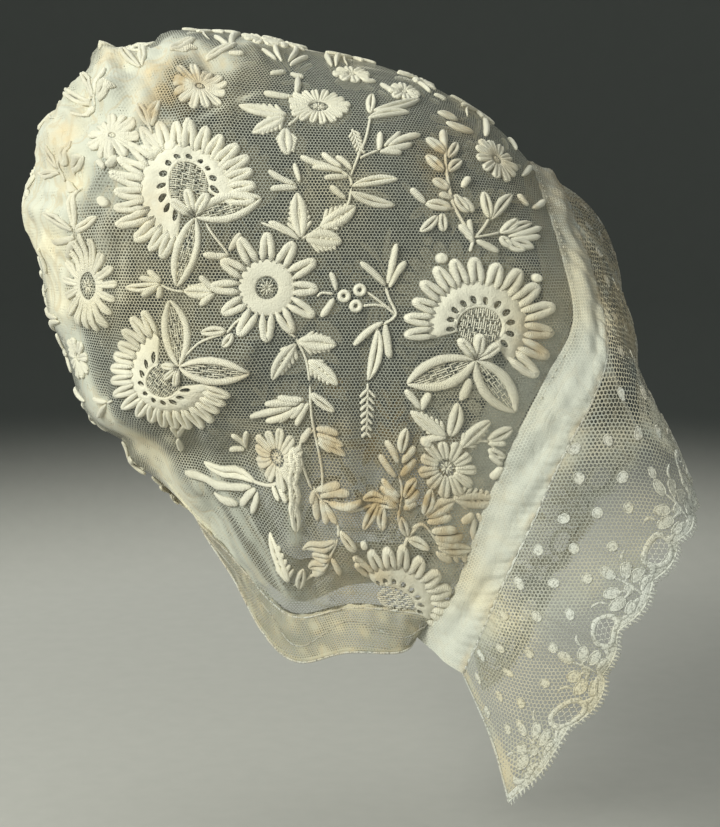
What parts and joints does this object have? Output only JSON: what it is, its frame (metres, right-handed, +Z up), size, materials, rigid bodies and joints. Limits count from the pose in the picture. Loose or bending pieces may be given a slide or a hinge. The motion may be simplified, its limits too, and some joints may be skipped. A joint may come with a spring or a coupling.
{
  "type": "embroidered net cap with lace frill",
  "caption": "Soft open-fronted head cap of fine net with raised floral embroidery, a folded band, a wide scalloped lace frill round the face and a hemmed nape.",
  "frame": {"origin": "inside the crown at the top of the head, where the wearer's crown carries the cap", "axes": "+X forward out of the face opening, +Y to the wearer's left, +Z up"},
  "size_m": [0.2774, 0.1797, 0.3118],
  "materials": {
    "net": "fine cotton net, matt, aged cream",
    "band": "folded white muslin, matt",
    "hem": "folded net, matt, yellowed at its edge",
    "lace": "dotted bobbin lace, matt",
    "embroidery": "padded satin stitch in soft cotton, slight sheen, stained tan in places"
  },
  "bodies": {
    "root": {"crown": "net", "front_band": "band", "lace_frill": "lace", "nape_hem": "hem", "flower_crest_right": "embroidery", "flower_crest_left": "embroidery", "flower_cheek_right": "embroidery", "flower_cheek_left": "embroidery", "flower_back_right": "embroidery", "flower_back_left": "embroidery", "flower_jaw_right": "embroidery", "flower_jaw_left": "embroidery"}
  },
  "joints": []
}
